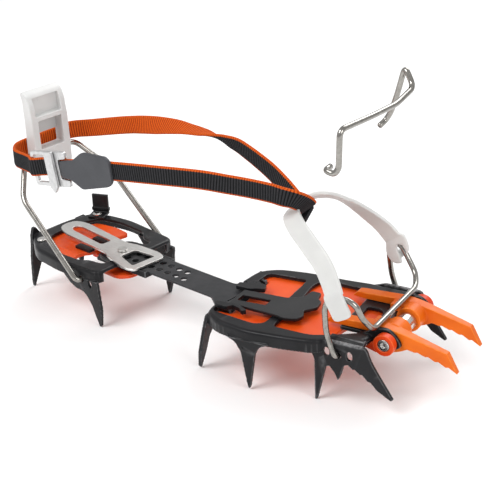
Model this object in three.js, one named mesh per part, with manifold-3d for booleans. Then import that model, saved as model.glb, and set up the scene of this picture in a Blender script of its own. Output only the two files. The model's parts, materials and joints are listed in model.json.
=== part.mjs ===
// Twelve-point crampon with an ankle strap, a toe bail with a flexible strap, a heel lever and a spare bail.
// Millimetres, +Z up, +X towards the toe. The points stand on z = 0.
import * as THREE from 'three';
import { mergeVertices } from 'three/addons/utils/BufferGeometryUtils.js';
import Module from 'manifold-3d';

const wasm = await Module();
wasm.setup();

// ---- driving dimensions -------------------------------------------------------------------------
const DECK = 45; // top of both steel frames
const STEEL = 2.6; // frame sheet
const FLANGE = 9; // depth of the frames' bent-down rims
const GAP = 0.35; // clearance between neighbouring pieces

const HEEL_YAW = THREE.MathUtils.degToRad(-12.4); // the heel section turns outward on an asymmetric boot
const LINK_JOINT = new THREE.Vector2(165, -9.6); // where the heel section's axis meets the front section
const BAR_WIDTH = 23.2;
const BAR_TOP = 44.2;
const BAR_REAR = 66;
const BAR_THICKNESS = 2;
const HOLE_PITCH = 8.1;
const HOLE_RADIUS = 2.7;

const POINT_Y = 19.8; // centre plane of each front point
const POINT_THICKNESS = 7.4;
const BOLT = new THREE.Vector2(298.8, 42.2); // x, z of the front points' bolt
const BARREL_RADIUS = 8.5;
const BOLT_RADIUS = 3;

const HEEL_WIRE = 2.1; // wire radii
const TOE_WIRE = 1.9;
const HEEL_EYE = new THREE.Vector2(68, 36); // x, z of the heel bail's axis
const TOE_EYE = new THREE.Vector2(273.5, 35.5); // x, z of the toe bail's axis
const TOE_LOOP = new THREE.Vector2(274.4, 67.2); // x, z of the toe strap's axis
const TOE_LOOP_Y = 45.8;
const TOE_OUTSIDE_Y = 48.1;
const LEVER_AXIS = new THREE.Vector2(-2, 107); // x, z of the lever's axis on the heel bail

const WEB_THICKNESS = 2;
const WEB_WIDTH = 14.4;

// ---- materials ----------------------------------------------------------------------------------
const paint = (color, roughness, metalness) => new THREE.MeshStandardMaterial({ color, roughness, metalness });
const BLACK_STEEL = paint(0x3a3a3c, 0.5, 0.6);
const BLACK_PLASTIC = paint(0x1c1c1e, 0.6, 0);
const ORANGE_STEEL = paint(0xf0761f, 0.45, 0.3);
const ORANGE_PLASTIC = paint(0xee6a2c, 0.5, 0);
const SILVER = paint(0xc4c1bc, 0.35, 0.9);
const WHITE_PLASTIC = paint(0xe4e4e0, 0.4, 0);
const GREY_PLASTIC = paint(0x47474d, 0.6, 0);
const WEBBING = paint(0x26262a, 0.85, 0);

// ---- solids -------------------------------------------------------------------------------------
function toSolid(geometry) {
  const bare = geometry.index ? geometry.clone() : geometry;
  bare.deleteAttribute('normal');
  bare.deleteAttribute('uv');
  const merged = mergeVertices(bare, 1e-4);
  return new wasm.Manifold(new wasm.Mesh({
    numProp: 3,
    vertProperties: new Float32Array(merged.attributes.position.array),
    triVerts: new Uint32Array(merged.index.array),
  }));
}

function toGeometry(solid) {
  const mesh = solid.getMesh();
  const geometry = new THREE.BufferGeometry();
  geometry.setAttribute('position', new THREE.BufferAttribute(new Float32Array(mesh.vertProperties), 3));
  geometry.setIndex(new THREE.BufferAttribute(new Uint32Array(mesh.triVerts), 1));
  geometry.computeVertexNormals();
  return geometry;
}

const join = (...solids) => solids.reduce((sum, next) => sum.add(next));
const cut = (body, ...tools) => tools.reduce((rest, tool) => rest.subtract(tool), body);

function place(geometry, { at = [0, 0, 0], turn = [0, 0, 0] } = {}) {
  const rotation = new THREE.Euler(turn[0], turn[1], turn[2], 'ZYX');
  const matrix = new THREE.Matrix4().makeRotationFromEuler(rotation);
  matrix.setPosition(at[0], at[1], at[2]);
  return geometry.applyMatrix4(matrix);
}

const box = (x, y, z) => toSolid(place(
  new THREE.BoxGeometry(x[1] - x[0], y[1] - y[0], z[1] - z[0]),
  { at: [(x[0] + x[1]) / 2, (y[0] + y[1]) / 2, (z[0] + z[1]) / 2] },
));

const outline = (points) => new THREE.Shape(points.map(([x, y]) => new THREE.Vector2(x, y)));

// An outline whose corners are rounded off; a third value in a point is that corner's radius.
function softOutline(points, radius, curveSteps = 3) {
  const shape = new THREE.Shape();
  const count = points.length;
  points.forEach((point, i) => {
    const corner = new THREE.Vector2(point[0], point[1]);
    const before = new THREE.Vector2(...points[(i + count - 1) % count].slice(0, 2)).sub(corner);
    const after = new THREE.Vector2(...points[(i + 1) % count].slice(0, 2)).sub(corner);
    const reach = Math.min(point[2] ?? radius, before.length() * 0.45, after.length() * 0.45);
    const start = corner.clone().add(before.setLength(Math.max(reach, 1e-3)));
    const end = corner.clone().add(after.setLength(Math.max(reach, 1e-3)));
    if (i === 0) {
      shape.moveTo(start.x, start.y);
    } else {
      shape.lineTo(start.x, start.y);
    }
    const bend = new THREE.QuadraticBezierCurve(start, corner, end);
    bend.getPoints(curveSteps).slice(1).forEach((p) => shape.lineTo(p.x, p.y));
  });
  shape.closePath();
  return shape;
}

const oval = (x, y, rx, ry) => new THREE.Shape().absellipse(x, y, rx, ry, 0, Math.PI * 2);

const circle = (x, y, radius) => new THREE.Shape().absarc(x, y, radius, 0, Math.PI * 2, false);

// A flat piece that lies in XY between two heights.
const slab = (shape, z0, z1, curveSegments = 8) => toSolid(place(
  new THREE.ExtrudeGeometry(shape, { depth: z1 - z0, bevelEnabled: false, curveSegments }),
  { at: [0, 0, z0] },
));

// A flat piece whose outline is given in x and z, standing between two values of y.
const upright = (shape, y0, y1, curveSegments = 8) => toSolid(place(
  new THREE.ExtrudeGeometry(shape, { depth: y1 - y0, bevelEnabled: false, curveSegments }),
  { at: [0, y1, 0], turn: [Math.PI / 2, 0, 0] },
));

// A flat piece whose outline is given in y and z, standing between two values of x.
const crosswise = (shape, x0, x1) => toSolid(
  new THREE.ExtrudeGeometry(shape, { depth: x1 - x0, bevelEnabled: false, curveSegments: 8 })
    .applyMatrix4(new THREE.Matrix4().set(0, 0, 1, x0, 1, 0, 0, 0, 0, 1, 0, 0, 0, 0, 0, 1)),
);

// A round bar along Y, about the axis x, z.
const pinAlongY = (axis, radius, y0, y1, sides = 18) => toSolid(place(
  new THREE.CylinderGeometry(radius, radius, y1 - y0, sides),
  { at: [axis.x, (y0 + y1) / 2, axis.y] },
));

const pinAlongZ = (x, y, radius, z0, z1, sides = 14) => toSolid(place(
  new THREE.CylinderGeometry(radius, radius, z1 - z0, sides),
  { at: [x, y, (z0 + z1) / 2], turn: [Math.PI / 2, 0, 0] },
));

// The path of a bent wire: straight runs joined by round bends.
function wirePath(points, bend) {
  const path = new THREE.CurvePath();
  const nodes = points.map((p) => new THREE.Vector3(...p));
  let from = nodes[0];
  for (let i = 1; i < nodes.length - 1; i += 1) {
    const before = nodes[i - 1].clone().sub(nodes[i]);
    const after = nodes[i + 1].clone().sub(nodes[i]);
    const reach = Math.min(bend, before.length() * 0.48, after.length() * 0.48);
    const start = nodes[i].clone().add(before.setLength(reach));
    const end = nodes[i].clone().add(after.setLength(reach));
    path.add(new THREE.LineCurve3(from, start));
    path.add(new THREE.QuadraticBezierCurve3(start, nodes[i], end));
    from = end;
  }
  path.add(new THREE.LineCurve3(from, nodes[nodes.length - 1]));
  return path;
}

// A round wire whose section stays square to its path, with a ring of points at each end of each bend.
function wire(points, radius, bend, sides = 8, bendSteps = 3) {
  const path = wirePath(points, bend);
  const rings = [];
  path.curves.forEach((curve) => {
    const steps = curve.isLineCurve3 ? 1 : bendSteps;
    for (let i = 0; i < steps; i += 1) {
      rings.push([curve.getPoint(i / steps), curve.getTangent(i / steps)]);
    }
  });
  const last = path.curves[path.curves.length - 1];
  rings.push([last.getPoint(1), last.getTangent(1)]);
  const section = (side, up) => {
    const angles = Array.from({ length: sides }, (_, k) => (k / sides) * Math.PI * 2);
    return angles.map((a) => side.clone().multiplyScalar(radius * Math.cos(a))
      .addScaledVector(up, radius * Math.sin(a)));
  };
  let side = new THREE.Vector3(0, 0, 1).cross(rings[0][1]);
  if (side.length() < 0.1) {
    side = new THREE.Vector3(1, 0, 0);
  }
  const loops = rings.map(([centre, tangent]) => {
    side = side.clone().addScaledVector(tangent, -side.dot(tangent)).normalize();
    const up = tangent.clone().cross(side);
    return section(side, up).map((p) => p.add(centre));
  });
  return toSolid(skin(loops));
}

// A closed skin over a row of loops that have the same number of points.
function skin(loops) {
  const size = loops[0].length;
  const points = loops.flat();
  const faces = [];
  for (let i = 0; i < loops.length - 1; i += 1) {
    for (let k = 0; k < size; k += 1) {
      const a = i * size + k;
      const b = i * size + ((k + 1) % size);
      faces.push(a, b, a + size, b, b + size, a + size);
    }
  }
  const end = (loops.length - 1) * size;
  for (let k = 1; k < size - 1; k += 1) {
    faces.push(0, k + 1, k);
    faces.push(end, end + k, end + k + 1);
  }
  const geometry = new THREE.BufferGeometry().setFromPoints(points);
  geometry.setIndex(faces);
  return geometry;
}

// The direction of a strap's width at each fraction of its length, blended between [fraction, direction] keys.
const widthAlong = (keys) => (fraction) => {
  const next = Math.max(1, keys.findIndex(([at]) => at >= fraction));
  const [from, first] = keys[next - 1];
  const [to, second] = keys[next];
  return new THREE.Vector3(...first).lerp(new THREE.Vector3(...second), (fraction - from) / (to - from));
};

// A flat strap along a path, with its width along across(fraction).
function strap(points, thickness, width, across, steps) {
  const path = new THREE.CatmullRomCurve3(points.map((p) => new THREE.Vector3(...p)), false, 'centripetal');
  const loops = [];
  for (let i = 0; i <= steps; i += 1) {
    const centre = path.getPointAt(i / steps);
    const tangent = path.getTangentAt(i / steps);
    const along = across(i / steps);
    const wide = along.addScaledVector(tangent, -along.dot(tangent)).normalize();
    const normal = tangent.clone().cross(wide);
    const corner = (a, b) => centre.clone()
      .addScaledVector(wide, a * width / 2)
      .addScaledVector(normal, b * thickness / 2);
    loops.push([corner(1, 1), corner(-1, 1), corner(-1, -1), corner(1, -1)]);
  }
  return toSolid(skin(loops));
}

// A sheet-metal tray: a flat deck with a rounded rim that is bent down, open below.
function tray(points) {
  const bevel = 2.2;
  const depth = 30;
  const block = (inset, top) => toSolid(place(
    new THREE.ExtrudeGeometry(softOutline(points, 6), {
      depth,
      bevelThickness: bevel,
      bevelSize: bevel,
      bevelOffset: -bevel - inset,
      bevelSegments: 2,
      curveSegments: 4,
    }),
    { at: [0, 0, top - bevel - depth] },
  ));
  const below = box([-100, 400], [-100, 100], [-100, DECK - FLANGE]);
  return cut(block(0, DECK), block(STEEL, DECK - STEEL), below);
}

// ---- the scene ----------------------------------------------------------------------------------
const crampon = new THREE.Group();
const front = new THREE.Group();
const heel = new THREE.Group();
crampon.add(front, heel);

function add(group, name, solid, material) {
  const mesh = new THREE.Mesh(toGeometry(solid), material);
  mesh.name = name;
  group.add(mesh);
}

// The same points on the other side, for outlines in x and y and for wire paths.
const mirrored = (points) => points.map(([x, y, ...rest]) => [x, -y, ...rest]);

// The same outline in y and z on the other side of y = middle.
const mirroredAcross = (points, middle = 0) => points
  .map(([y, z, ...rest]) => [2 * middle - y, z, ...rest])
  .reverse();

const bothSides = (solid) => join(solid, solid.mirror([0, 1, 0]));

// ---- front section ------------------------------------------------------------------------------
// Turns a solid from the link bar's frame to the front section's.
const alongBar = (solid) => solid.translate([-LINK_JOINT.x, 0, 0])
  .rotate([0, 0, THREE.MathUtils.radToDeg(HEEL_YAW)]).translate([LINK_JOINT.x, LINK_JOINT.y, 0]);

const FRONT_RIM = [
  [176, -29], [177, -44], [190, -53], [214, -57], [240, -54], [260, -50], [267, -40], [289, -36],
  [289, 36], [267, 40], [258, 41], [240, 39], [212, 38], [190, 34], [178, 25], [175, 0],
];
const SIDE_POINT = [
  [199, 38], [206, 35, 4], [209.5, 28], [212.4, 3], [213.6, 0], [214.8, 3], [220, 28], [223.5, 35, 4],
  [231, 38],
];
const REAR_POINT = [
  [-31.6, 43], [-33.5, 31, 6], [-38.5, 24], [-39.5, 13], [-42.5, 0], [-44, 0.5], [-47.5, 14], [-47, 36],
  [-46, 43],
];
const FRONT_MIDDLE = -8.5; // y half way between the two rear points
const BROW = 34; // lowest stretch of the rim over the toe eyelets
const TRIPLE_POINT = [
  [246, 38], [254, 35, 3], [257, 30, 3], [257, 0], [258.5, 0], [265, 25.5], [267.5, 27, 1], [271.5, 22],
  [273.5, 17.5], [275.5, 22], [277.5, 29], [280.5, 30.5, 1], [284, 27.6], [285, 28.4], [289, 25.2], [290, 26],
  [294.6, 21.4], [295.6, 22.2], [300.2, 17.2], [309.8, 12], [311.4, 12.6], [303.8, 24], [296, 36, 4],
  [293, 45, 3], [266, 45],
];
const LUG = [[280, 44], [280, 38], [292, 35.4], [301, 36], [309, 40.5], [306, 46], [299.5, 51.4], [292, 50.5]];

// A flat blade across X that hangs from the deck and leans back as it goes down.
const leaningBlade = (points, x, pivot, lean) => crosswise(softOutline(points, 0.7, 3), 0, STEEL)
  .translate([0, 0, -pivot]).rotate([0, lean, 0]).translate([x, 0, pivot]);

// A flat blade along X whose outer face is at y, which leans inwards as it goes down.
function sideBlade(points, y, pivot, lean) {
  const side = Math.sign(y);
  const flat = upright(softOutline(points, 0.7, 3), 0, STEEL);
  const set = side < 0 ? flat : flat.translate([0, -STEEL, 0]);
  return set.translate([0, 0, -pivot]).rotate([-side * lean, 0, 0]).translate([0, y, pivot]);
}

function frontFrame() {
  const windows = [
    softOutline([[180, -41], [213, -45.5], [219.5, -42.5], [219.5, -10], [217, -8], [216, 26],
    [187, 24], [186, 10],
      [186, -35, 1], [180, -35, 1]], 4),
    softOutline([[226.5, -43.5], [254, -43], [266, -37], [280, -27.5], [280, -24.5, 1], [265, -24.5, 1],
    [264, 30],
      [226, 31], [223, 20], [226.5, -8]], 4),
    softOutline([[271, -10], [281, -8], [283, 4], [279, 8], [270, 8]], 2.5),
  ];
  const half = BAR_WIDTH / 2 + 0.6;
  const under = BAR_TOP - BAR_THICKNESS - GAP;
  const seat = alongBar(join(
    box([155, 186], [-half, half], [under, DECK + 1]),
    box([168.5, 185.4], [-18, 18], [under, DECK + 1]),
    box([155, 186], [-half - 6, half + 6], [DECK - FLANGE - 1, under + 0.1]),
  ));
  const deck = cut(
    tray(FRONT_RIM),
    ...windows.map((shape) => slab(shape, DECK - FLANGE - 1, DECK + 1)),
    seat,
    box([284, 292], [26.7, 35], [30, DECK - STEEL]),
    box([284, 292], [-35, -26.7], [30, DECK - STEEL]),
  );
  const bridge = join(
    box([177, 190], [-34.6, 16], [37.6, 40.2]),
    box([177, 190], [-34.6, -32], [37.6, DECK - 1]),
    box([177, 190], [13.4, 16], [37.6, DECK - 1]),
  );
  const browSection = [
    [35, DECK - STEEL], [42.4, 38], [42.4, BROW], [45, BROW], [45, 39], [38, DECK], [35, DECK],
  ];
  const body = join(
    deck,
    bridge,
    bothSides(crosswise(outline(browSection), 265, 289)),
    sideBlade(SIDE_POINT, -57.3, 40, 5),
    sideBlade(SIDE_POINT, 38.3, 40, 3),
    bothSides(upright(softOutline(TRIPLE_POINT, 0.5, 2), 42.4, 45)),
    leaningBlade(REAR_POINT, 176.6, 40, 12),
    leaningBlade(mirroredAcross(REAR_POINT, FRONT_MIDDLE), 176.6, 40, 12),
    bothSides(upright(softOutline(LUG, 3), 24, 24 + STEEL)),
  );
  const pointSeat = box([285, 320], [16, 23.9], [DECK - STEEL - 4, 70]);
  return cut(
    body,
    pinAlongY(BOLT, BOLT_RADIUS + GAP, -30, 30),
    pinAlongY(TOE_EYE, TOE_WIRE + GAP, -50, 50),
    ...[265.5, 281.5].map((x) => upright(oval(x, 36.5, 2.2, 3.2), -50, 50)),
    bothSides(pointSeat),
  );
}

add(front, 'front_frame', frontFrame(), BLACK_STEEL);
add(front, 'front_anti_snow_plate', slab(softOutline([
  [181, -41], [190, -46], [214, -50], [236, -47], [246, -41.5], [264, -34], [268, -15], [285, -13], [285, 11], [268, 13],
  [264, 34], [254, 35], [238, 33],
  [212, 32], [186, 25], [184, 17, 1], [190.6, 16.4, 1], [190.6, -35, 1], [181, -35.2, 1],
], 5), 38.6, 41.8), ORANGE_PLASTIC);

function lockPlate() {
  const shape = softOutline([
    [187, -31.4, 1], [222, -33], [229.5, -35], [238.4, -32.6], [240.6, -27], [236.8, -20], [243, -12.4],
    [241.6, -3.4],
    [237.6, -1], [236, 7.6], [229, 7.6], [227.6, -2.4], [219, -8.4], [187, -10.2, 1],
  ], 2);
  const slot = softOutline([[190, -25.6], [210.6, -24], [210.6, -16.2], [190, -17.6]], 1);
  return cut(slab(shape, DECK + GAP, DECK + 2.6), slab(slot, DECK - 1, DECK + 5));
}
add(front, 'lock_plate', lockPlate(), BLACK_PLASTIC);

[
  ['lock_hook_right', [[179, -37], [189, -38.6], [192, -34.6], [198, -36.4], [201.4, -39.4], [204, -37], [196, -32.8],
    [179, -32.8]]],
  ['lock_hook_left', [[179, -8.6], [190.6, -8.6], [195, -6.4], [199.6, -5], [198, 0.6], [194, 1.4], [190, 4],
    [186, 2.4], [184, -2], [179, -3]]],
].forEach(([name, shape]) => {
  add(front, name, slab(softOutline(shape, 1), DECK + GAP, DECK + 3.4), BLACK_STEEL);
});

const POINT_PROFILE = [
  [254, DECK + GAP], [258, 49.6, 1], [288, 51], [298, 50.4, 3], [309, 48], [337.2, 40.6], [344.4, 27.6],
  [338, 31.4], [336.6, 30.8], [331.4, 33.8], [329.8, 33.2], [324.6, 35.8], [323, 35.2], [317.8, 37.4],
  [316, 36.8], [311, 38], [306, 35.2, 3], [301, 33.8, 4], [291.5, 36.6, 4], [289.6, DECK + GAP],
];
function frontPoint() {
  const half = POINT_THICKNESS / 2;
  const inner = POINT_Y - half;
  const plan = softOutline([
    [250, inner + 2.4], [262, inner], [306, inner], [350, POINT_Y - 1.8], [350, POINT_Y + 1.8],
    [306, POINT_Y + half], [262, POINT_Y + half], [250, POINT_Y + half - 1],
  ], 4);
  const blade = upright(softOutline(POINT_PROFILE, 0.4, 2), inner, inner + POINT_THICKNESS)
    .intersect(slab(plan, 0, 70));
  const barrel = pinAlongY(BOLT, BARREL_RADIUS, 6.3, inner + 1, 28);
  const webShape = softOutline([[285, DECK + GAP], [285, 50.2], [297, 50], [297, DECK + GAP]], 1);
  const web = upright(webShape, 9, inner + 1);
  return cut(join(blade, barrel, web), pinAlongY(BOLT, BOLT_RADIUS + GAP, 0, 40));
}
add(front, 'front_point_left', frontPoint(), ORANGE_STEEL);
add(front, 'front_point_right', frontPoint().mirror([0, 1, 0]), ORANGE_STEEL);

const spacer = cut(pinAlongY(BOLT, 6, -6, 6, 24), pinAlongY(BOLT, BOLT_RADIUS + GAP, -8, 8));
add(front, 'point_spacer', spacer, SILVER);

const BOLT_HEAD = { radius: 3.9, from: 29.9, to: 32 };

function collar() {
  const tail = softOutline([[285.5, 38.2], [294, 45.5], [294, 35.6]], 1);
  const ring = join(pinAlongY(BOLT, 7.2, 27, 32.2, 28), upright(tail, 27, 31.2));
  const seat = pinAlongY(BOLT, BOLT_HEAD.radius + GAP, 29.5, 36, 24);
  return cut(ring, seat, pinAlongY(BOLT, BOLT_RADIUS + GAP, 20, 40));
}
add(front, 'point_collar_left', collar(), ORANGE_STEEL);
add(front, 'point_collar_right', collar().mirror([0, 1, 0]), ORANGE_STEEL);

add(front, 'front_point_bolt', cut(
  join(
    pinAlongY(BOLT, BOLT_RADIUS, -30.5, 28.6),
    pinAlongY(BOLT, BOLT_HEAD.radius, -BOLT_HEAD.to, -BOLT_HEAD.from, 24),
  ),
  pinAlongY(BOLT, 1.9, -34, -30.6, 6),
), SILVER);
add(front, 'front_point_nut', cut(
  pinAlongY(BOLT, BOLT_HEAD.radius, BOLT_HEAD.from, BOLT_HEAD.to, 6),
  pinAlongY(BOLT, 2.4, 31, 34),
), SILVER);

// ---- toe bail and toe strap ---------------------------------------------------------------------
// Each side of the toe bail makes a loop that holds a foot of the toe strap. The right one is wider.
const toeRight = [
  [TOE_EYE.x, -39.4, TOE_EYE.y], [TOE_EYE.x, -TOE_OUTSIDE_Y, TOE_EYE.y], [267, -TOE_OUTSIDE_Y + 0.6, 52],
  [265.4, -TOE_LOOP_Y, 67.6], [268.2, -TOE_LOOP_Y, 74], [274.4, -TOE_LOOP_Y, 76.6], [281.6, -TOE_LOOP_Y, 76.4],
  [286.6, -45, 73], [289.4, -42, 63.4], [292.5, -33, 52.8],
];
const toeLeft = [
  [TOE_EYE.x, 39.4, TOE_EYE.y], [TOE_EYE.x, TOE_OUTSIDE_Y, TOE_EYE.y], [268.4, TOE_OUTSIDE_Y - 0.6, 52],
  [267.4, TOE_LOOP_Y, 67.6], [268.8, TOE_LOOP_Y, 73.6], [273, TOE_LOOP_Y, 76.2], [277, TOE_LOOP_Y, 73.4],
  [280.8, TOE_LOOP_Y, 67], [288.2, 43, 57.4], [292.5, 33, 52.8],
];
add(front, 'toe_bail', wire([...toeRight, ...toeLeft.reverse()], TOE_WIRE, 5), SILVER);

const TOE_STRAP_ROUTE = [
  [274, -49.2, 79], [270, -46.8, 86.4], [262.7, -42.4, 95.2], [249.8, -36.1, 104.2], [236, -27.6, 111.8],
  [229.6, -20, 115.2], [229, -10, 117.2], [231.4, 1, 118.6], [239.2, 12.6, 116.6], [247.1, 24.4, 109.6],
  [256.7, 34, 98.4], [265.8, 40, 88.2], [271.4, 42.4, 80.6],
];
const TOE_STRAP_WIDTH = [
  [0, [0.89, 0, 0.45]], [0.2, [0.66, 0.25, 0.68]], [0.42, [0.66, 0.3, 0.66]], [0.54, [0.75, -0.2, 0.56]],
  [0.7, [0.76, -0.5, 0.3]], [0.86, [0.8, -0.2, 0.42]], [1, [0.89, 0, 0.45]],
];

// The flexible strap. Its right foot lies outside its loop of the bail and its left foot inside, where a
// notch shows the wire.
function toeStrap() {
  const room = TOE_WIRE + GAP;
  const wall = 2.2;
  const arch = strap(TOE_STRAP_ROUTE, 2.6, 12.8, widthAlong(TOE_STRAP_WIDTH), 48);
  const rightFoot = softOutline([[265.6, 78], [277.6, 84.6], [286.2, 67.6], [274.2, 61]], 3.6);
  const leftFoot = softOutline([[266.8, 81], [266.8, 68.5], [271.6, 62.2], [278.6, 62.8], [284, 74.8], [279.4, 86]], 4);
  const notch = outline([[274.6, 73.4], [275.2, 76.6], [278.8, 76.6], [284.6, 66], [286, 60], [281, 58], [278.2, 65]]);
  const hub = pinAlongY(TOE_LOOP, 3, TOE_LOOP_Y - room - 1, TOE_LOOP_Y + room + 1, 16);
  return join(
    arch,
    bothSides(hub),
    upright(rightFoot, -TOE_LOOP_Y - room - wall, -TOE_LOOP_Y - room),
    cut(upright(leftFoot, TOE_LOOP_Y - room - wall, TOE_LOOP_Y - room), upright(notch, 40, 50)),
  );
}
add(front, 'toe_strap', toeStrap(), WHITE_PLASTIC);

// ---- heel section -------------------------------------------------------------------------------
const HEEL_RIM = [
  [-6, -19], [0, -26], [16, -36.5], [44, -40], [84, -38], [84, 38], [60, 40.5], [34, 43], [12, 40], [-2, 33],
  [-6, 12],
];
const HEEL_BLADE = [
  [46, 38], [51, 33, 3], [54, 29.5, 3], [60.5, 26.2, 2], [69, 26, 4], [74.5, 17], [79.2, 0], [80.8, 0],
  [84, 14],
  [84.6, 38],
];
const HEEL_REAR_BLADE = [
  [-23.6, 44], [-23.6, 24], [-22.4, 5], [-21.6, 0], [-20.4, 0], [-13.4, 22], [-14.6, 36], [-14.6, 44],
];
const HEEL_EAR = [[-23.6, 38], [-23.6, 45], [-21.8, 50.6], [-19.4, 50.6], [-14.6, 44], [-14.6, 38]];

function heelFrame() {
  const window = softOutline([
    [7, -14], [20, -24], [40, -31], [58, -30], [63, -25.5], [75, -24.5], [77, -17.5], [64, -16],
    [60, -13], [60, 13],
    [64, 16], [77, 17.5], [75, 24.5], [63, 26.5], [58, 33], [30, 35], [12, 31], [5, 12],
  ], 4);
  const channel = BAR_WIDTH / 2 + GAP;
  const wall = channel + STEEL;
  const floor = [BAR_TOP - BAR_THICKNESS - GAP - 2.4, BAR_TOP - BAR_THICKNESS - GAP];
  const deck = cut(
    tray(HEEL_RIM),
    slab(window, DECK - FLANGE - 1, DECK + 1),
    box([55, 90], [-channel, channel], [30, 60]),
    box([55, 90], [-31, 31], [30, DECK - STEEL]),
  );
  const guide = join(
    box([58, 109], [-wall, wall], floor),
    bothSides(box([60, 84], [channel, wall], [floor[0], DECK - 0.5])),
    bothSides(box([84, 109], [channel, wall], [floor[0], BAR_TOP])),
  );
  const ear = crosswise(softOutline(HEEL_EAR, 0.8, 3), 0, STEEL).translate([-6.4, 0, 0]);
  const body = join(
    deck,
    guide,
    sideBlade(HEEL_BLADE, 39.2, 38, 4),
    sideBlade(HEEL_BLADE, -39.2, 38, 6),
    leaningBlade(HEEL_REAR_BLADE, -6.4, 44, 8),
    leaningBlade(mirroredAcross(HEEL_REAR_BLADE, 3), -6.4, 44, 8),
    ear,
  );
  return cut(
    body,
    pinAlongY(HEEL_EYE, HEEL_WIRE + GAP, -50, 50),
    upright(oval(76.4, 34.4, 2, 3.4), -50, -30),
    upright(oval(76.4, 34.4, 2, 3.4), 30, 50),
  );
}
add(heel, 'heel_frame', heelFrame(), BLACK_STEEL);

function heelPlate() {
  const rear = softOutline([
    [4, -13], [12, -25], [30, -28.5], [46, -28], [43, -17], [49, -9], [49, 9], [43, 17], [46, 29], [30, 31],
    [12, 28], [3, 11],
  ], 4);
  const toe = softOutline([[68, -20], [86, -20.5], [93, -13], [93, 14], [86, 25], [68, 25]], 4);
  const ribs = [-20, -6, 9, 20].map((y) => box([15, 32], [y - 1.2, y + 1.2], [41, 42]));
  return join(
    slab(rear, 38.6, 41.6),
    slab(toe, 34.2, 37),
    box([42, 70], [-5, 5], [34.2, 37]),
    box([42, 47], [-5, 5], [34.2, 39]),
    ...ribs,
  );
}
add(heel, 'heel_anti_snow_plate', heelPlate(), ORANGE_PLASTIC);

[['heel_plate_clip_left', 5.6], ['heel_plate_clip_right', -11]].forEach(([name, y]) => {
  const shape = softOutline([[33.5, y - 3], [49.4, y - 3], [49.4, y + 3], [33.5, y + 3]], 1);
  add(heel, name, slab(shape, 42, 43.8), BLACK_PLASTIC);
});

const rivet = (x, y) => join(
  pinAlongZ(x, y, 3.6, DECK + 0.3, DECK + 1.2),
  pinAlongZ(x, y, 2.6, DECK + 1, DECK + 1.8),
);
add(heel, 'heel_rivet_right', rivet(9, -24.5), SILVER);
add(heel, 'heel_rivet_left', rivet(9, 30.5).translate([0, 0, 2]), SILVER);

function heelTab() {
  const turn = 25;
  const foot = box([-6, 7], [-7, 3], [DECK + 0.3, DECK + 2]);
  const wall = box([-6, 7], [3, 5.4], [DECK + 0.3, DECK + 16]);
  const fold = box([-6.6, 7.6], [2.6, 5.8], [DECK + 3, DECK + 5.4]);
  return join(foot, wall, fold).rotate([0, 0, turn]).translate([7.6, 33, 0]);
}
add(heel, 'heel_tab', heelTab(), BLACK_PLASTIC);

// ---- length adjustment --------------------------------------------------------------------------
function linkBar() {
  const half = BAR_WIDTH / 2;
  const shape = softOutline([
    [BAR_REAR, -half + 3], [BAR_REAR + 5, -half], [170, -half], [178, -17], [184, -17], [184, 17], [178, 17],
    [170, half], [BAR_REAR + 5, half], [BAR_REAR, half - 3],
  ], 1.5);
  const holes = [];
  for (let i = 0; i < 9; i += 1) {
    holes.push(circle(132 - i * HOLE_PITCH, 4.6, HOLE_RADIUS));
    holes.push(circle(137.4 - i * HOLE_PITCH, -4.6, HOLE_RADIUS));
  }
  return cut(
    slab(shape, BAR_TOP - BAR_THICKNESS, BAR_TOP),
    ...holes.map((hole) => slab(hole, BAR_TOP - 6, BAR_TOP + 6, 6)),
  );
}
add(heel, 'link_bar', linkBar(), BLACK_STEEL);

const ADJUSTER_THICKNESS = 1.8;
const ADJUSTER_HINGE = 106; // x of the edge that the adjuster lifts about
const ADJUSTER_SLOPE = 2.4; // degrees
const ADJUSTER_SKEW = -3.5; // degrees in plan, about its rear end
const ADJUSTER_REAR = 17;
const STUD_X = 74.5;

const onAdjuster = (solid) => solid.translate([-ADJUSTER_REAR, 0, 0]).rotate([0, 0, ADJUSTER_SKEW])
  .translate([ADJUSTER_REAR - ADJUSTER_HINGE, 0, 0]).rotate([0, ADJUSTER_SLOPE, 0])
  .translate([ADJUSTER_HINGE, 0, BAR_TOP + GAP]);

function adjusterPlate() {
  const half = [[9, 7, 6], [20, 11.4, 6], [60, 10.6], [67, 10.6], [75, 14, 4], [96, 17, 4], [104, 14, 3]];
  const slot = softOutline([[18, -2], [22, -4.2], [56, -4.6], [56, 4.6], [22, 4.2], [18, 2]], 2.5);
  const opening = softOutline([[80.5, -6.6], [98, -10.5], [98, 10.5], [80.5, 6.6]], 2);
  return onAdjuster(cut(
    slab(softOutline([...half, ...mirrored(half).reverse()], 4), 0, ADJUSTER_THICKNESS),
    slab(slot, -3, 5),
    slab(opening, -3, 5),
    pinAlongZ(STUD_X, 0, 2.2 + GAP, -3, 5),
  ));
}
add(heel, 'adjuster_plate', adjusterPlate(), SILVER);
add(heel, 'adjuster_stud', onAdjuster(join(
  pinAlongZ(STUD_X, 0, 2.2, -0.3, 2.6),
  pinAlongZ(STUD_X, 0, 3.6, ADJUSTER_THICKNESS + GAP, 3.4),
)), SILVER);

// ---- heel bail and lever ------------------------------------------------------------------------
const heelHalf = [
  [HEEL_EYE.x, -32.6, HEEL_EYE.y], [HEEL_EYE.x, -43, HEEL_EYE.y], [14.5, -41.6, 84.6],
  [LEVER_AXIS.x, -23.6, LEVER_AXIS.y],
];
add(heel, 'heel_bail', wire([...heelHalf, ...mirrored(heelHalf).reverse()], HEEL_WIRE, 6), SILVER);

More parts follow.
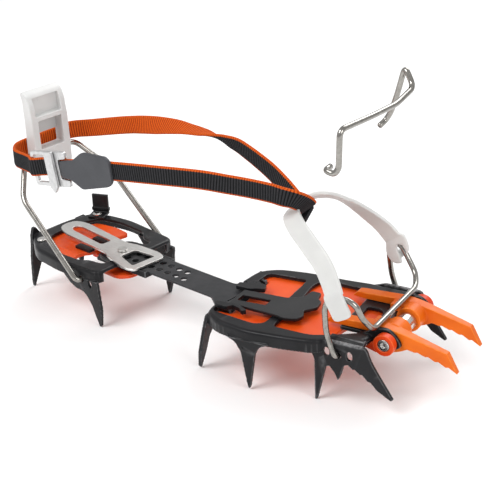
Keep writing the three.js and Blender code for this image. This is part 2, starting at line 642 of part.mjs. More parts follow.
function heelLever() {
  const profile = softOutline([
    [2.6, 92], [2.8, 110], [2, 132], [0.2, 145], [-2.6, 151.4, 3], [-7.6, 154.4, 2], [-9, 152.6, 1],
    [-7.6, 147, 4],
    [-6.8, 135], [-6.8, 92],
  ], 1.5);
  const opening = box([-20, 20], [-10.8, 10.8], [111, 132]);
  const recess = box([-4, 20], [-12, 12], [135.6, 149]);
  const bore = pinAlongY(LEVER_AXIS, HEEL_WIRE + GAP, -30, 30, 16);
  return cut(upright(profile, -16.6, 16.6), opening, recess, bore);
}
add(heel, 'heel_lever', heelLever(), WHITE_PLASTIC);
add(heel, 'lever_back', box([-6.4, -4.8], [-10.4, 10.4], [121, 131.6]), WHITE_PLASTIC);

// ---- ankle strap --------------------------------------------------------------------------------
const toHeel = (x, y, z) => {
  const turned = new THREE.Vector2(x, y).sub(LINK_JOINT).rotateAround(new THREE.Vector2(), -HEEL_YAW);
  return [turned.x + LINK_JOINT.x, turned.y, z];
};
const STRAP_ROUTE = [
  toHeel(217, -15.4, 123.6), toHeel(202.6, -24.5, 128.3), toHeel(190, -31, 131.5), toHeel(172.5, -35.5, 133.5),
  toHeel(142, -39.5, 133), [114, -38.7, 128.9], [84, -38.5, 123.3], [59, -38.5, 118.5], [34, -38.5, 115],
  [0, -34, 111], [-12, -22.5, 110], [-11.6, -5, 111], [-10.6, 12, 112], [-7.5, 26, 113.8], [6, 35.5, 115.5],
  [47, 40.5, 125], [84, 41, 131.8], toHeel(121, 45, 132.8), toHeel(148, 38, 132), toHeel(164, 32.5, 130.4),
  toHeel(192, 19, 124), toHeel(216, 6.2, 117.8),
];
const STRAP_WIDTH = [ // the far run makes half a twist
  [0, [0, 0, 1]], [0.755, [0, 0, 1]], [0.8, [0.2, 1, 0.3]], [0.845, [0, 0, -1]], [1, [0, 0, -1]],
];
add(heel, 'ankle_strap', strap(STRAP_ROUTE, WEB_THICKNESS, WEB_WIDTH, widthAlong(STRAP_WIDTH), 72), WEBBING);

const BUCKLE_PLACE = new THREE.Vector2(59, 118.5); // x, z on the near run, in front of the buckle's middle
const STRAP_RISE = 0.19; // slope of the near run of webbing
const onStrap = (solid) => solid.rotate([0, -THREE.MathUtils.radToDeg(Math.atan(STRAP_RISE)), 0])
  .translate([BUCKLE_PLACE.x, 0, BUCKLE_PLACE.y]);
const WEB_OUTSIDE = -38.5 - WEB_THICKNESS / 2 - 0.55;
const BUCKLE_THICKNESS = 2.4;

add(heel, 'strap_tab', onStrap(upright(softOutline([
  [2.4, -6], [12, -7.2], [22.5, -13.6, 2.5], [50.5, -10.4, 2.5], [54.6, -7.4, 2], [55.6, 7.2, 2],
  [52.6, 10.4, 2],
  [29, 13, 3], [17, 6.8], [2.4, 5.8],
], 2), WEB_OUTSIDE - BUCKLE_THICKNESS, WEB_OUTSIDE)), GREY_PLASTIC);

function buckleFrame() {
  const shape = softOutline([
    [-28, -12.6], [10, -12.6], [10, -7.8, 1], [1.4, -6.8, 1], [1.4, 6.6, 1], [10, 7.6, 1], [10, 12.6],
    [-28, 12.6],
  ], 3);
  const slot = softOutline([[-24.6, -9.6], [-11, -9.6], [-11, 9.6], [-24.6, 9.6]], 1);
  return onStrap(cut(
    upright(shape, WEB_OUTSIDE - BUCKLE_THICKNESS, WEB_OUTSIDE),
    upright(slot, -60, -20),
  ));
}
add(heel, 'buckle_frame', buckleFrame(), SILVER);
add(heel, 'buckle_bar', onStrap(upright(
  softOutline([[-9.6, -12], [-5.4, -17], [-1.2, -12], [-1.2, 13], [-9.6, 13]], 1.2),
  WEB_OUTSIDE - 5,
  WEB_OUTSIDE - BUCKLE_THICKNESS - GAP,
)), SILVER);

// ---- spare bail ---------------------------------------------------------------------------------
add(front, 'spare_toe_bail', wire([
  [266.5, -37, 158.5], [266.5, -45, 158.5], [273, -46, 157.5], [275.5, -45, 161], [276.5, -45, 185],
  [282.5, -12, 184.5], [285, 16, 183.5], [287, 37, 188], [279.5, 40.5, 199.5], [274, 41, 180], [269.5, 42, 168],
  [266, 42, 162], [264.6, 35, 160],
], TOE_WIRE, 5), SILVER);

// ---- assembly -----------------------------------------------------------------------------------
const barEnd = new THREE.Vector2(LINK_JOINT.x, 0).rotateAround(new THREE.Vector2(), HEEL_YAW);
const joint = LINK_JOINT.clone().sub(barEnd);
heel.rotation.z = HEEL_YAW;
heel.position.set(joint.x, joint.y, 0);
crampon.updateMatrixWorld(true);
const extent = new THREE.Box3().setFromObject(crampon, true);
const middle = extent.getCenter(new THREE.Vector3());
crampon.position.set(-middle.x, -middle.y, -extent.min.z);

export default crampon;
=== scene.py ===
"""Looks for the crampon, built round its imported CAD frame. Metres, +Z up, +X towards the toe."""

import json
import math

import bmesh
import bpy
import numpy as np
from mathutils import Matrix, Vector

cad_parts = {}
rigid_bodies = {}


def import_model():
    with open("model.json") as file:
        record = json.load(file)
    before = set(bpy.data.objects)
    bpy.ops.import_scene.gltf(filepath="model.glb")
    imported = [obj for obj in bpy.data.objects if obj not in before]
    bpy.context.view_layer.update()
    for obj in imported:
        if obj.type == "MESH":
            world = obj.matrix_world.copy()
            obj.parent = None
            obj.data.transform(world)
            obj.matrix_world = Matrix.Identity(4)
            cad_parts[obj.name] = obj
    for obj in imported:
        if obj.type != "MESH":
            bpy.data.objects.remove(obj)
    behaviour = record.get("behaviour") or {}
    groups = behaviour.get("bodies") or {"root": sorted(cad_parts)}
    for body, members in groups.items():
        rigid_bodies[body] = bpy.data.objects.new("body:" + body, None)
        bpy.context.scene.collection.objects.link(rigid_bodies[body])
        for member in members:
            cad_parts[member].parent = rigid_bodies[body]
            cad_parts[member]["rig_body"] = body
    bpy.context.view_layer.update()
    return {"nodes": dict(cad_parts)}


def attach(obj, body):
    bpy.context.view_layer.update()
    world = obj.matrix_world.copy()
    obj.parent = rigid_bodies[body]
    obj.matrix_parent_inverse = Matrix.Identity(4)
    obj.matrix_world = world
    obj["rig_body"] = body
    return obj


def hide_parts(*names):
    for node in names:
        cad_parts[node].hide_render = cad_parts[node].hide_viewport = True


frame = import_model()
scene = bpy.context.scene

# ---- places ------------------------------------------------------------------------------------------------
# Points are written in millimetres in the front section's own frame, or in the heel section's. ORIGIN is the
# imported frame's origin. The heel section is turned by HEEL_YAW about its own point (LINK_X, 0), which lies at
# (LINK_X, LINK_Y) in the front section's frame.
ORIGIN = Vector((165.366, 3.789, 0))
LINK_X = 165
LINK_Y = -9.6
HEEL_YAW = math.radians(-12.4)


def front(x, y, z):
    return (Vector((x, y, z)) - ORIGIN) / 1000


def heel(x, y, z):
    c, s = math.cos(HEEL_YAW), math.sin(HEEL_YAW)
    return front(LINK_X + (x - LINK_X) * c - y * s, LINK_Y + (x - LINK_X) * s + y * c, z)


# ---- material building blocks ------------------------------------------------------------------------------
# A mix node has one set of sockets for each kind of data. These are the ones for colours.
MIX_COLOR_A = 6
MIX_COLOR_B = 7
MIX_COLOR_RESULT = 2


class Paint:
    """A Principled material with short calls for its nodes."""

    def __init__(self, name, color, roughness, metallic=0.0):
        self.material = bpy.data.materials.new(name)
        self.material.use_nodes = True
        self.tree = self.material.node_tree
        self.shader = self.tree.nodes["Principled BSDF"]
        self.coords = self.node("ShaderNodeTexCoord").outputs["Object"]
        self.set("Base Color", (*color, 1))
        self.set("Roughness", roughness)
        self.set("Metallic", metallic)

    def node(self, kind, **settings):
        made = self.tree.nodes.new(kind)
        for key, value in settings.items():
            setattr(made, key, value)
        return made

    def set(self, socket, value):
        self.shader.inputs[socket].default_value = value

    def link(self, source, target):
        self.tree.links.new(source, target)
        return source

    def noise(self, scale, detail=3, stretch=(1, 1, 1), offset=0.0):
        place = self.node("ShaderNodeMapping")
        place.inputs["Scale"].default_value = stretch
        place.inputs["Location"].default_value = (offset, offset, offset)
        made = self.node("ShaderNodeTexNoise")
        made.inputs["Scale"].default_value = scale
        made.inputs["Detail"].default_value = detail
        self.link(self.coords, place.inputs["Vector"])
        self.link(place.outputs["Vector"], made.inputs["Vector"])
        return made.outputs["Fac"]

    def attribute(self, name):
        return self.node("ShaderNodeAttribute", attribute_name=name).outputs["Fac"]

    def ramp(self, source, low, high, start=0.0, end=1.0):
        made = self.node("ShaderNodeMapRange")
        for key, value in zip(("From Min", "From Max", "To Min", "To Max"), (low, high, start, end)):
            made.inputs[key].default_value = value
        self.link(source, made.inputs["Value"])
        return made.outputs["Result"]

    def math(self, operation, a, b):
        made = self.node("ShaderNodeMath", operation=operation)
        for slot, value in enumerate((a, b)):
            if isinstance(value, (int, float)):
                made.inputs[slot].default_value = value
            else:
                self.link(value, made.inputs[slot])
        return made.outputs["Value"]

    def mix(self, factor, a, b):
        made = self.node("ShaderNodeMix", data_type="RGBA")
        self.link(factor, made.inputs["Factor"])
        for slot, value in ((MIX_COLOR_A, a), (MIX_COLOR_B, b)):
            if isinstance(value, tuple):
                made.inputs[slot].default_value = (*value, 1)
            else:
                self.link(value, made.inputs[slot])
        return made.outputs[MIX_COLOR_RESULT]

    def color(self, source):
        self.link(source, self.shader.inputs["Base Color"])

    def roughness(self, source):
        self.link(source, self.shader.inputs["Roughness"])

    def bump(self, height, strength, distance):
        made = self.node("ShaderNodeBump")
        made.inputs["Strength"].default_value = strength
        made.inputs["Distance"].default_value = distance
        self.link(height, made.inputs["Height"])
        self.link(made.outputs["Normal"], self.shader.inputs["Normal"])


# Noise scales, as cells per metre: broad clouds of colour, chips at worn edges, patches of gloss, fine grain.
COAT_CLOUDS = 38
COAT_CHIPS = 420
COAT_GLOSS = 160
COAT_GRAIN = 2600
METAL_MARKS = 420
METAL_GLOSS = 90
MOULDED_CLOUDS = 30
MOULDED_GLOSS = 120
MOULDED_GRAIN = 1500
YARN_STRANDS = 2400

# Depths of the bumps, in metres.
GRAIN_DEPTH = 0.00006
MARK_DEPTH = 0.00004
STRAND_DEPTH = 0.00012

# The shader's specular level for each kind of surface that isn't bare metal.
COAT_SHINE = 0.22
MOULDED_SHINE = 0.35
YARN_SHINE = 0.12

# How far a vertex stands out, as the edge attribute has it, where the paler edge colour (rubbed paint and
# painted highlight) starts and where it is full.
EDGE_WEAR_AND_HIGHLIGHT_START = 0.05
EDGE_WEAR_AND_HIGHLIGHT_FULL = 0.18


def coated_steel(name, color, edge, patches, rough):
    """A coat that is a little uneven, and paler on edges that stand out: partly cut or rubbed paint, partly a
    painted highlight.
    """
    paint = Paint(name, color, rough)
    base = paint.mix(paint.ramp(paint.noise(COAT_CLOUDS, 4), 0.35, 0.65), color, patches)
    # The edge colour is partly worn paint and partly a painted highlight along edges that stand out.
    edge_wear_and_highlight = paint.ramp(paint.attribute("edge"), EDGE_WEAR_AND_HIGHLIGHT_START, EDGE_WEAR_AND_HIGHLIGHT_FULL)
    broken = paint.ramp(paint.noise(COAT_CHIPS, 3, offset=3.1), 0.3, 0.6, 0.25, 1)
    paint.color(paint.mix(paint.math("MULTIPLY", edge_wear_and_highlight, broken), base, edge))
    gloss = paint.noise(COAT_GLOSS, 3, offset=7.0)
    paint.roughness(paint.ramp(gloss, 0.3, 0.7, rough - 0.07, rough + 0.08))
    paint.bump(paint.noise(COAT_GRAIN, 2), 0.16, GRAIN_DEPTH)
    paint.set("Specular IOR Level", COAT_SHINE)
    return paint.material


def bare_metal(name, color, shade, rough, grain=(1, 1, 1), scale=METAL_MARKS):
    """Uncoated metal with fine marks. A grain that is larger for Y and Z draws them out along X."""
    paint = Paint(name, color, rough, 1.0)
    marks = paint.noise(scale, 5, grain)
    paint.color(paint.mix(paint.ramp(marks, 0.3, 0.7), color, shade))
    gloss = paint.noise(METAL_GLOSS, 4, offset=5.0)
    paint.roughness(paint.ramp(gloss, 0.3, 0.7, rough - 0.06, rough + 0.1))
    paint.bump(marks, 0.25, MARK_DEPTH)
    return paint.material


def moulded(name, color, shade, rough, depth=0.0, radius=(0.004, 0.004, 0.004), grain=MOULDED_GRAIN,
            strength=0.12):
    """Moulded plastic or rubber: a fine grain, faint clouding and, where depth isn't 0, light inside it."""
    paint = Paint(name, color, rough)
    paint.color(paint.mix(paint.ramp(paint.noise(MOULDED_CLOUDS, 3), 0.35, 0.65), color, shade))
    gloss = paint.noise(MOULDED_GLOSS, 3, offset=2.0)
    paint.roughness(paint.ramp(gloss, 0.3, 0.7, rough - 0.05, rough + 0.07))
    paint.bump(paint.noise(grain, 2), strength, GRAIN_DEPTH)
    paint.set("Specular IOR Level", MOULDED_SHINE)
    paint.set("Subsurface Weight", depth)
    paint.set("Subsurface Radius", radius)
    paint.set("Subsurface Scale", 1.0)
    return paint.material


def woven(name, color, shade, rough):
    """Ribbed yarn: fine broken strands, with painted shade in the hollows between the ribs and between the
    beads at the rims.
    """
    paint = Paint(name, color, rough)
    strands = paint.noise(YARN_STRANDS, 3)
    crest = paint.ramp(paint.attribute("rib"), 0.15, 0.8)
    lit = paint.math("MULTIPLY", crest, paint.ramp(strands, 0.35, 0.65, 0.55, 1))
    paint.color(paint.mix(lit, shade, color))
    paint.bump(strands, 0.5, STRAND_DEPTH)
    paint.set("Specular IOR Level", YARN_SHINE)
    return paint.material


# The second colour given to each coat is its pale edge colour: part worn paint, part painted highlight.
BLACK_STEEL = coated_steel("black_coated_steel", (0.0075, 0.0075, 0.0085), (0.19, 0.19, 0.195),
                           (0.013, 0.013, 0.015), 0.34)
BAR_STEEL = coated_steel("black_bar_steel", (0.02, 0.021, 0.023), (0.13, 0.13, 0.135),
                         (0.034, 0.034, 0.037), 0.4)
ORANGE_STEEL = coated_steel("orange_forged_steel", (0.76, 0.15, 0.006), (0.98, 0.38, 0.08),
                            (0.62, 0.1, 0.004), 0.38)
# The collars' coat is the orange coat painted darker and redder: painted shade.
SHADED_ORANGE_STEEL = coated_steel("collar_orange_painted_shade", (0.68, 0.055, 0.006), (0.9, 0.26, 0.07),
                         (0.56, 0.036, 0.004), 0.34)
ORANGE_PLATE = moulded("orange_flexible_plate", (0.74, 0.085, 0.008), (0.66, 0.06, 0.005), 0.36, 0.2,
                       (0.006, 0.002, 0.001))
BLACK_PLASTIC = moulded("black_moulded_plastic", (0.006, 0.006, 0.007), (0.011, 0.011, 0.012), 0.34)
WHITE_PLASTIC = moulded("white_moulded_plastic", (0.64, 0.64, 0.63), (0.57, 0.57, 0.565), 0.32, 0.2)
# The lever's back wall is its white plastic painted darker: painted shade inside the lever's window.
SHADED_WHITE_PLASTIC = moulded("lever_wall_painted_shade", (0.5, 0.5, 0.49), (0.43, 0.43, 0.43), 0.4)
MILKY = moulded("milky_elastomer", (0.62, 0.62, 0.605), (0.55, 0.55, 0.54), 0.42, 0.3, (0.005, 0.005, 0.0047))
GREY_RUBBER = moulded("dark_grey_rubber", (0.045, 0.047, 0.053), (0.057, 0.059, 0.066), 0.5,
                      grain=2200, strength=0.3)
SATIN_STEEL = bare_metal("satin_steel", (0.8, 0.79, 0.77), (0.66, 0.65, 0.63), 0.34, (1, 12, 12), 160)
# The wire steel is darkened to paint in the dark surroundings it reflects: a painted reflection.
DARKENED_WIRE_STEEL = bare_metal("drawn_wire_painted_reflection", (0.37, 0.355, 0.33), (0.27, 0.26, 0.24), 0.2)
TURNED_STEEL = bare_metal("turned_steel", (0.72, 0.71, 0.69), (0.55, 0.54, 0.52), 0.25)
BUCKLE_METAL = bare_metal("buckle_alloy", (0.68, 0.68, 0.68), (0.56, 0.56, 0.56), 0.36)
# The second colour of each webbing is the painted shade in the hollows between its ribs.
WEB_DARK = woven("webbing_charcoal", (0.038, 0.038, 0.041), (0.0012, 0.0012, 0.0016), 0.8)
WEB_ORANGE = woven("webbing_orange", (0.72, 0.12, 0.01), (0.22, 0.018, 0.002), 0.75)


# ---- shapes ------------------------------------------------------------------------------------------------
BLUR_ROUNDS = 2
SOFTENING = 0.5
BEND_STEPS = 7
LONGEST_BEND = 0.48
WIRE_SIDES = 16
# The rings that round off a wire's end, as (distance from its last point, size), both in radii.
ROUNDED_END = ((0, 0.55), (0.12, 0.82), (0.4, 1))


def mark_edges(mesh, voxel):
    """Stores how far each vertex stands out from its neighbours: high on edges, negative in corners."""
    count = len(mesh.vertices)
    points = np.empty(count * 3)
    normals = np.empty(count * 3)
    mesh.vertices.foreach_get("co", points)
    mesh.vertices.foreach_get("normal", normals)
    points, normals = points.reshape(-1, 3), normals.reshape(-1, 3)
    ends = np.empty(len(mesh.edges) * 2, np.int32)
    mesh.edges.foreach_get("vertices", ends)
    ends = ends.reshape(-1, 2)
    both = np.concatenate((ends[:, 0], ends[:, 1]))
    other = np.concatenate((ends[:, 1], ends[:, 0]))
    degree = np.bincount(both, minlength=count)[:, None]

    def neighbours(values):
        columns = [np.bincount(both, values[other, k], count) for k in range(values.shape[1])]
        return np.stack(columns, 1) / np.maximum(degree, 1)

    bulge = ((points - neighbours(points)) * normals).sum(1, keepdims=True) / voxel
    for _ in range(BLUR_ROUNDS):
        bulge = 0.5 * bulge + 0.5 * neighbours(bulge)
    mesh.attributes.new("edge", "FLOAT", "POINT").data.foreach_set("value", bulge[:, 0].astype(np.float32))


def wears(obj, body, materials, nodes):
    """Gives a finished piece its materials and body, and lets it stand for CAD nodes."""
    obj.data.materials.clear()
    for material in materials:
        obj.data.materials.append(material)
    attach(obj, body)
    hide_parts(*nodes)


def refined(node, material, slot, voxel, rounds, keep):
    """A CAD node again as one dense skin with its edges softened.

    voxel is the skin's cell in mm, rounds how often it is smoothed, keep the share of its faces that is left.
    """
    source = frame["nodes"][node]
    obj = bpy.data.objects.new(node + "_form", source.data.copy())
    scene.collection.objects.link(obj)
    size = voxel / 1000
    skin = obj.modifiers.new("skin", "REMESH")
    skin.mode = "VOXEL"
    skin.voxel_size = size
    soften = obj.modifiers.new("soften", "SMOOTH")
    soften.factor = SOFTENING
    soften.iterations = rounds
    thin = obj.modifiers.new("thin", "DECIMATE")
    thin.ratio = keep
    bpy.context.view_layer.objects.active = obj
    for modifier in list(obj.modifiers):
        bpy.ops.object.modifier_apply(modifier=modifier.name)
    obj.data.shade_smooth()
    mark_edges(obj.data, size)
    wears(obj, source["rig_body"], [material], [node])


def skinned(name, rings):
    """A skin over rings with the same number of points, capped at both ends. Its faces run ring by ring."""
    size = len(rings[0])
    count = len(rings)
    points = [p for ring in rings for p in ring]
    faces = []
    for i in range(count - 1):
        a, b = i * size, (i + 1) * size
        for k in range(size):
            m = (k + 1) % size
            faces.append((a + k, a + m, b + m, b + k))
    faces.append(tuple(range(size - 1, -1, -1)))
    faces.append(tuple((count - 1) * size + k for k in range(size)))
    mesh = bpy.data.meshes.new(name)
    mesh.from_pydata(points, [], faces)
    whole = bmesh.new()
    whole.from_mesh(mesh)
    bmesh.ops.recalc_face_normals(whole, faces=whole.faces)
    whole.to_mesh(mesh)
    whole.free()
    mesh.shade_smooth()
    obj = bpy.data.objects.new(name, mesh)
    scene.collection.objects.link(obj)
    return obj


def bent(points, bend):
    """Points along straight runs joined by parabolas, each starting at most bend before its corner."""
    path = [points[0]]
    for before, corner, after in zip(points, points[1:], points[2:]):
        back, on = before - corner, after - corner
        reach = min(bend, back.length * LONGEST_BEND, on.length * LONGEST_BEND)
        start, end = corner + back.normalized() * reach, corner + on.normalized() * reach
        for i in range(BEND_STEPS + 1):
            t = i / BEND_STEPS
            path.append(start * (1 - t) ** 2 + corner * 2 * t * (1 - t) + end * t * t)
    path.append(points[-1])
    return path


def wire(name, points, radius, bend):
    """A round wire with rounded ends. radius and bend are in mm."""
    path = bent(points, bend / 1000)
    radius /= 1000
    rings = []
    side = None
    last = len(path) - 1
    for i, centre in enumerate(path):
        tangent = (path[min(i + 1, last)] - path[max(i - 1, 0)]).normalized()
        if side is None:
            side = tangent.orthogonal().normalized()
        side = (side - tangent * side.dot(tangent)).normalized()
        up = tangent.cross(side)
        angles = [2 * math.pi * k / WIRE_SIDES for k in range(WIRE_SIDES)]
        caps = [(0, 1)]
        if i in (0, last):
            way = 1 if i == 0 else -1
            caps = [(shift * way, share) for shift, share in ROUNDED_END][::way]
        for shift, share in caps:
            middle = centre + tangent * shift * radius
            rings.append([middle + (side * math.cos(a) + up * math.sin(a)) * radius * share for a in angles])
    return skinned(name, rings)


# ---- steel, plastic and rubber pieces, from their CAD nodes ------------------------------------------------
# (node, material, slot, voxel in mm, smoothing rounds, share of faces kept)
REFINED = [
    ("front_frame", BLACK_STEEL, "black_steel", 0.45, 4, 0.35),
    ("heel_frame", BLACK_STEEL, "black_steel", 0.45, 4, 0.4),
    ("link_bar", BAR_STEEL, "black_steel", 0.3, 4, 0.4),
    ("lock_plate", BLACK_PLASTIC, "black_plastic", 0.35, 4, 0.6),
    ("front_point_left", ORANGE_STEEL, "orange_steel", 0.35, 6, 0.6),
    ("front_point_right", ORANGE_STEEL, "orange_steel", 0.35, 6, 0.6),
    ("point_collar_left", SHADED_ORANGE_STEEL, "orange_steel", 0.25, 5, 0.6),
    ("point_collar_right", SHADED_ORANGE_STEEL, "orange_steel", 0.25, 5, 0.6),
    ("point_spacer", TURNED_STEEL, "steel", 0.25, 4, 0.6),
    ("front_point_bolt", TURNED_STEEL, "steel", 0.25, 3, 0.6),
    ("front_point_nut", TURNED_STEEL, "steel", 0.18, 2, 0.8),
    ("front_anti_snow_plate", ORANGE_PLATE, "orange_plate", 0.5, 5, 0.5),
    ("heel_anti_snow_plate", ORANGE_PLATE, "orange_plate", 0.45, 5, 0.5),
    ("lock_hook_left", BLACK_STEEL, "black_steel", 0.2, 4, 0.7),
    ("lock_hook_right", BLACK_STEEL, "black_steel", 0.2, 4, 0.7),
    ("heel_plate_clip_left", BLACK_PLASTIC, "black_plastic", 0.25, 4, 0.8),
    ("heel_plate_clip_right", BLACK_PLASTIC, "black_plastic", 0.25, 4, 0.8),
    ("heel_rivet_left", TURNED_STEEL, "steel", 0.15, 4, 0.8),
    ("heel_rivet_right", TURNED_STEEL, "steel", 0.15, 4, 0.8),
    ("heel_tab", BLACK_PLASTIC, "black_plastic", 0.3, 5, 0.7),
    ("adjuster_plate", SATIN_STEEL, "steel", 0.2, 8, 0.35),
    ("adjuster_stud", TURNED_STEEL, "steel", 0.15, 4, 0.8),
    ("heel_lever", WHITE_PLASTIC, "white_plastic", 0.35, 5, 0.6),
    ("lever_back", SHADED_WHITE_PLASTIC, "white_plastic", 0.3, 2, 0.8),
    ("strap_tab", GREY_RUBBER, "grey_rubber", 0.35, 5, 0.6),
    ("buckle_frame", BUCKLE_METAL, "buckle_metal", 0.3, 4, 0.7),
    ("buckle_bar", BUCKLE_METAL, "buckle_metal", 0.25, 4, 0.7),
    ("toe_strap", MILKY, "white_flexible", 0.45, 12, 0.6),
]
for row in REFINED:
    refined(*row)

# ---- wire bails --------------------------------------------------------------------------------------------
TOE_RIGHT = [
    (273.5, -39.4, 35.5), (273.5, -48.1, 35.5), (267, -47.5, 52), (265.4, -45.8, 67.6), (268.2, -45.8, 74),
    (274.4, -45.8, 76.6), (281.6, -45.8, 76.4), (286.6, -45, 73), (289.4, -42, 63.4), (292.5, -33, 52.8),
]
TOE_LEFT = [
    (273.5, 39.4, 35.5), (273.5, 48.1, 35.5), (268.4, 47.5, 52), (267.4, 45.8, 67.6), (268.8, 45.8, 73.6),
    (273, 45.8, 76.2), (277, 45.8, 73.4), (280.8, 45.8, 67), (288.2, 43, 57.4), (292.5, 33, 52.8),
]
SPARE = [
    (266.5, -37, 158.5), (266.5, -45, 158.5), (273, -46, 157.5), (275.5, -45, 161), (276.5, -45, 185),
    (282.5, -12, 184.5), (285, 16, 183.5), (287, 37, 188), (279.5, 40.5, 199.5), (274, 41, 180),
    (269.5, 42, 168), (266, 42, 162), (264.6, 35, 160),
]
HEEL_RIGHT = [(68, -32.6, 36), (68, -43, 36), (14.5, -41.6, 84.6), (-2, -23.6, 107)]
HEEL_LEFT = [(x, -y, z) for x, y, z in HEEL_RIGHT]
TOE_WIRE = 1.9
HEEL_WIRE = 2.1
# (node, route, radius in mm, bend in mm)
BAILS = [
    ("toe_bail", [front(*p) for p in TOE_RIGHT + TOE_LEFT[::-1]], TOE_WIRE, 5),
    ("spare_toe_bail", [front(*p) for p in SPARE], TOE_WIRE, 5),
    ("heel_bail", [heel(*p) for p in HEEL_RIGHT + HEEL_LEFT[::-1]], HEEL_WIRE, 6),
]
for node, route, radius, bend in BAILS:
    made = wire(node + "_wire", route, radius, bend)
    wears(made, frame["nodes"][node]["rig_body"], [DARKENED_WIRE_STEEL], [node])


# ---- webbing -----------------------------------------------------------------------------------------------
# Lengths in millimetres. The selvedges, at the two rims, are beaded and thinner than the rest.
WEB_WIDTH = 13.2
WEB_HALF_THICKNESS = 0.85
WEB_STEP = 0.38
WEB_COLUMNS = 13
RIB_PITCH = 1.9
RIB_HEIGHT = 0.3
RIB_SHARPNESS = 1.2
SELVEDGE = 1.4
SELVEDGE_THINNING = 0.45
BEAD_PITCH = 1.6
BEAD_HEIGHT = 0.2
BEAD_LEAST_SHADE = 0.3
SPLINE_SAMPLES = 4001


def spline(stations, spacing):
    """Even steps along a smooth curve through (point, direction) stations: their points and directions."""
    points = [np.array(p) for p, _ in stations]
    ways = np.array([np.array(d, float) for _, d in stations])
    spans = [np.linalg.norm(b - a) ** 0.5 for a, b in zip(points, points[1:])]
    knots = np.concatenate(([0], np.cumsum(spans)))
    slopes = []
    for i in range(len(points)):
        a, b = max(i - 1, 0), min(i + 1, len(points) - 1)
        slopes.append((points[b] - points[a]) / (knots[b] - knots[a]))
    fine = []
    params = np.linspace(0, knots[-1], SPLINE_SAMPLES)
    for value in params:
        i = min(int(np.searchsorted(knots, value, "right")) - 1, len(points) - 2)
        step = knots[i + 1] - knots[i]
        t = (value - knots[i]) / step
        fine.append(
            points[i] * (2 * t ** 3 - 3 * t * t + 1) + slopes[i] * step * (t ** 3 - 2 * t * t + t)
            + points[i + 1] * (3 * t * t - 2 * t ** 3) + slopes[i + 1] * step * (t ** 3 - t * t)
        )
    fine = np.array(fine)
    lengths = np.concatenate(([0], np.cumsum(np.linalg.norm(np.diff(fine, axis=0), axis=1))))
    wanted = np.linspace(0, lengths[-1], int(lengths[-1] / spacing) + 1)
    places = np.stack([np.interp(wanted, lengths, fine[:, k]) for k in range(3)], 1)
    at = np.interp(wanted, lengths, params)
    turns = np.stack([np.interp(at, knots, ways[:, k]) for k in range(3)], 1)
    return [Vector(p) for p in places], [Vector(d) for d in turns]


def webbing(name, stations):
    """Ribbed webbing through (point, width direction) stations, and which of its two materials each face has.

    0 is charcoal, for the outside. 1 is orange, for the inside and both rims.
    """
    path, ways = spline(stations, WEB_STEP / 1000)
    last = len(path) - 1
    columns = np.linspace(-1, 1, WEB_COLUMNS)
    half = WEB_WIDTH / 2000
    thick = WEB_HALF_THICKNESS / 1000
    rings = []
    crests = []
    for i, centre in enumerate(path):
        tangent = (path[min(i + 1, last)] - path[max(i - 1, 0)]).normalized()
        wide = (ways[i] - tangent * ways[i].dot(tangent)).normalized()
        normal = tangent.cross(wide)
        crest = abs(math.sin(math.pi * i * WEB_STEP / RIB_PITCH)) ** RIB_SHARPNESS
        rib = crest * RIB_HEIGHT / 1000
        swell = 0.5 + 0.5 * math.sin(2 * math.pi * i * WEB_STEP / BEAD_PITCH)
        bead = swell * BEAD_HEIGHT / 1000
        ring = []
        for side in (1, -1):
            for c in columns * side:
                rim = max(abs(c) * half * 1000 - half * 1000 + SELVEDGE, 0) / SELVEDGE
                height = (thick + rib * (1 - rim) + bead * rim) * (1 - SELVEDGE_THINNING * rim ** 2)
                ring.append(centre + wide * c * half + normal * height * side)
                # The rib attribute paints shade into the hollows between the ribs and between the selvedge
                # beads.
                beaded = BEAD_LEAST_SHADE + (1 - BEAD_LEAST_SHADE) * swell
                crests.append(crest * (1 - rim) + beaded * rim)
        rings.append(ring)
    obj = skinned(name, rings)
    obj.data.attributes.new("rib", "FLOAT", "POINT").data.foreach_set("value", crests)
    size = WEB_COLUMNS * 2
    slots = np.zeros(len(obj.data.polygons), np.int32)
    for row in range(last):
        for k in range(size):
            on_rim = k % WEB_COLUMNS in (0, WEB_COLUMNS - 2, WEB_COLUMNS - 1)
            slots[row * size + k] = 1 if on_rim or k < WEB_COLUMNS else 0
    return obj, slots


UPRIGHT = (0, 0, 1)
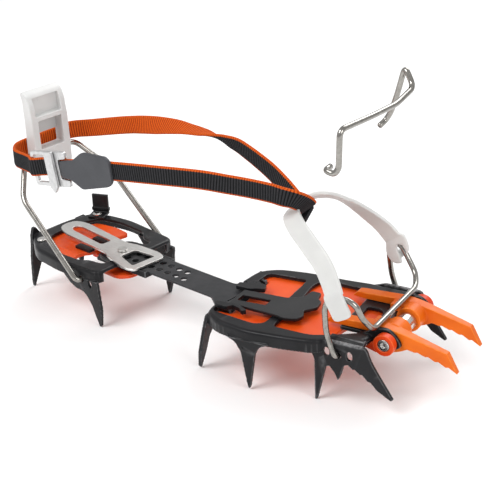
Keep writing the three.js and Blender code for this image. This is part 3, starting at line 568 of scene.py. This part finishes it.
# The middle of the webbing from end to end, as (point, direction across its width).
STRAP = [
    (front(219.5, 6.2, 110.6), (0.6, 0, 0.8)),
    (front(226.5, 1.8, 109.6), (0.75, -0.1, 0.62)),
    (front(232.4, -4.5, 112.6), (0.75, -0.1, 0.62)),
    (front(236.4, -11.5, 117.4), (0.68, 0, 0.72)),
    (front(237.6, -19, 122.6), (0.58, 0.1, 0.78)),
    (front(235.4, -26, 127.2), (0.42, 0, 0.88)),
    (front(229, -30, 129.6), (0.2, 0, 1)),
    (front(221, -30, 130.6), UPRIGHT),
    (front(206, -29.8, 131.1), UPRIGHT),
    (front(190, -31.6, 131.9), UPRIGHT),
    (front(172.5, -35.5, 133.5), UPRIGHT),
    (front(142, -39.5, 133), UPRIGHT),
    (heel(114, -38.7, 128.9), UPRIGHT),
    (heel(84, -38.5, 123.3), UPRIGHT),
    (heel(59, -38.5, 118.5), UPRIGHT),
    (heel(47, -38.6, 116.8), UPRIGHT),
    (heel(40, -40.6, 115.8), UPRIGHT),
    (heel(32.7, -43.8, 114.7), UPRIGHT),
    (heel(26, -40.4, 113.8), UPRIGHT),
    (heel(17, -37.4, 112.6), UPRIGHT),
    (heel(0, -33, 111), UPRIGHT),
    (heel(-12, -21.5, 110), UPRIGHT),
    (heel(-11.8, -5, 111), UPRIGHT),
    (heel(-10.8, 12, 112), UPRIGHT),
    (heel(-7.5, 26, 113.8), UPRIGHT),
    (heel(6, 35.5, 115.5), UPRIGHT),
    (heel(47, 40.5, 125), UPRIGHT),
    (heel(84, 41, 131.4), (0, 0.8, 0.6)),
    (front(112, 45.6, 132.4), (0.05, 0.98, 0.2)),
    (front(126, 43.8, 132.4), (0.05, 0.99, -0.04)),
    (front(137, 41, 132.2), (0, 0.9, -0.44)),
    (front(149, 37.4, 131.6), (0, 0.55, -0.84)),
    (front(164, 32, 130.6), (0, 0.17, -0.98)),
    (front(192, 19.4, 124), (-0.1, 0, -1)),
    (front(208, 10.4, 118.6), (-0.4, 0, -0.9)),
    (front(219, 4.2, 113.4), (-0.6, 0, -0.8)),
    (front(228, -0.8, 108), (-0.75, 0.1, -0.62)),
    (front(234, -5.6, 108.6), (-0.75, 0.1, -0.62)),
]
strap, strap_slots = webbing("ankle_webbing", STRAP)
wears(strap, "ankle_strap", [WEB_DARK, WEB_ORANGE], ["ankle_strap"])
strap.data.polygons.foreach_set("material_index", strap_slots)

# ---- camera, floor and light -------------------------------------------------------------------------------
LENS = 96.07
SENSOR = 36
NEAREST = 0.01
AZIMUTH = math.radians(30.84)
ELEVATION = math.radians(24.58)
ROLL = math.radians(-2.29)
EYE = front(598.5, -692.85, 442.64)

away = Vector((
    math.sin(AZIMUTH) * math.cos(ELEVATION),
    -math.cos(AZIMUTH) * math.cos(ELEVATION),
    math.sin(ELEVATION),
))
level = Vector((math.cos(AZIMUTH), math.sin(AZIMUTH), 0))
over = away.cross(level)
right = level * math.cos(ROLL) + over * math.sin(ROLL)
up = over * math.cos(ROLL) - level * math.sin(ROLL)
camera = bpy.data.objects.new("camera", bpy.data.cameras.new("camera"))
scene.collection.objects.link(camera)
camera.matrix_world = Matrix((
    (right.x, up.x, away.x, EYE.x),
    (right.y, up.y, away.y, EYE.y),
    (right.z, up.z, away.z, EYE.z),
    (0, 0, 0, 1),
))
camera.data.lens = LENS
camera.data.sensor_width = SENSOR
camera.data.clip_start = NEAREST
scene.camera = camera

FLOOR_REACH = 4
FLOOR_CLOUDS = 3
floor_mesh = bpy.data.meshes.new("floor")
corners = [(x * FLOOR_REACH, y * FLOOR_REACH, 0) for x, y in ((-1, -1), (1, -1), (1, 1), (-1, 1))]
floor_mesh.from_pydata(corners, [], [(0, 1, 2, 3)])
floor = bpy.data.objects.new("floor", floor_mesh)
scene.collection.objects.link(floor)
floor_paint = Paint("pale_floor", (0.9, 0.9, 0.9), 0.9)
floor_paint.color(floor_paint.mix(floor_paint.noise(FLOOR_CLOUDS), (0.91, 0.91, 0.91), (0.89, 0.89, 0.89)))
floor.data.materials.append(floor_paint.material)

WORLD_LIGHT = 0.62
world = bpy.data.worlds.new("studio")
scene.world = world
world.use_nodes = True
sky = world.node_tree.nodes["Background"]
sky.inputs["Color"].default_value = (1, 1, 1, 1)
sky.inputs["Strength"].default_value = WORLD_LIGHT
scene.view_settings.view_transform = "Standard"
LAMP_TARGET = Vector((0, 0, 0.06))
# (name, place in metres, diameter in metres, watts)
LAMPS = [
    ("key", (-0.5, -0.9, 1.3), 0.9, 16),
    ("fill", (1.3, -0.5, 0.8), 0.8, 7),
    ("back", (0.1, 1.2, 1.2), 1.0, 12),
]
for name, place, size, power in LAMPS:
    lamp = bpy.data.lights.new(name, "AREA")
    lamp.shape = "DISK"
    lamp.size = size
    lamp.energy = power
    stand = bpy.data.objects.new(name, lamp)
    stand.location = place
    stand.rotation_euler = (LAMP_TARGET - Vector(place)).to_track_quat("-Z", "Y").to_euler()
    scene.collection.objects.link(stand)
